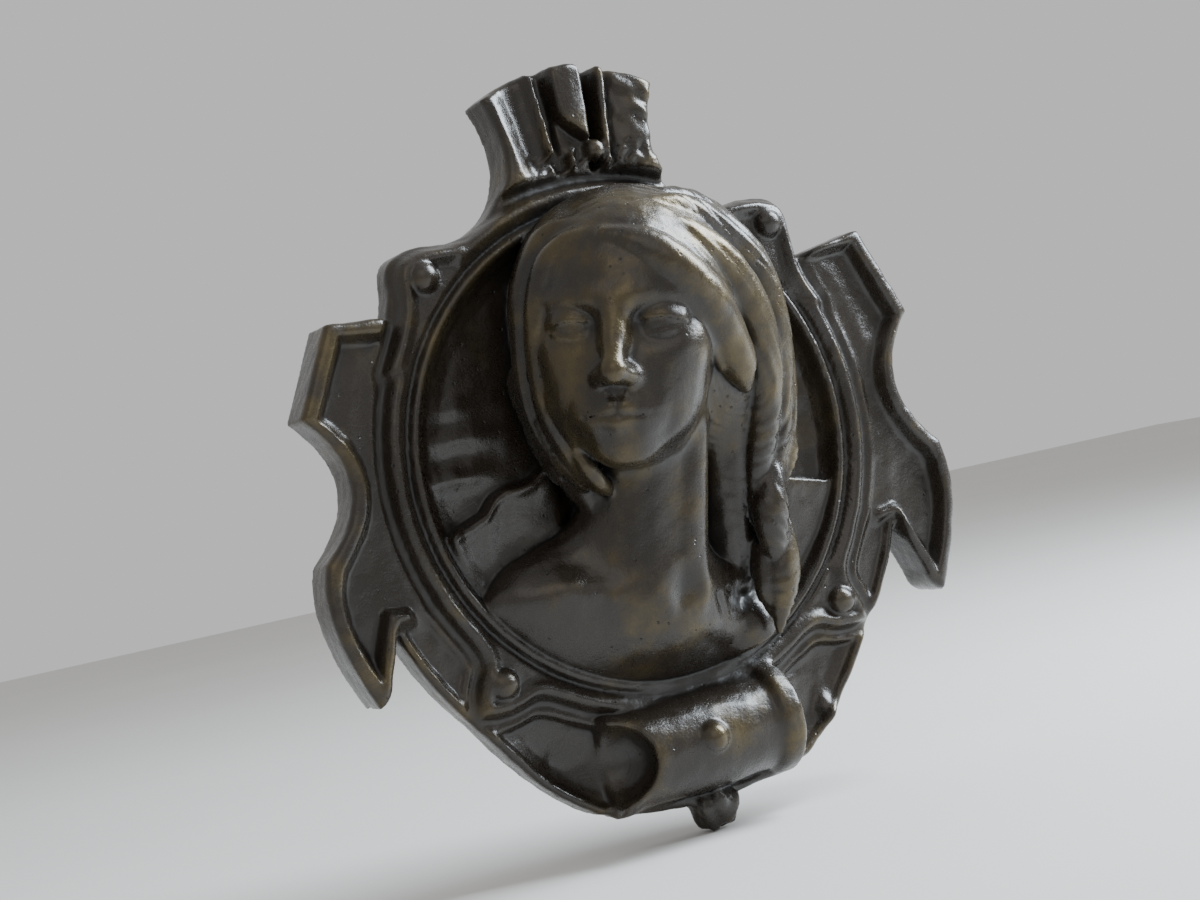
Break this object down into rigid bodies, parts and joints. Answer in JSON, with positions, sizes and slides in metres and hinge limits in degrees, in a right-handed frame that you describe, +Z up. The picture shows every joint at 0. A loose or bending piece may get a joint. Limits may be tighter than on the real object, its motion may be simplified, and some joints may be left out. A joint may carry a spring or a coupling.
{
  "type": "relief plaque",
  "caption": "Cast metal wall plaque: a woman's bust in high relief inside a beaded ring, on a strapwork cartouche with a crest, side wings and a bottom roll.",
  "frame": {"origin": "on the flat back, behind the centre of the round medallion", "axes": "+Y into the wall, the relief faces -Y; +Z up towards the crest; +X to the viewer's right"},
  "size_m": [0.2409, 0.0727, 0.2627],
  "materials": {
    "plaque": "dark brown patinated bronze, satin gloss, high spots rubbed to olive and golden brown"
  },
  "bodies": {
    "root": {"plaque": "plaque"}
  },
  "joints": []
}
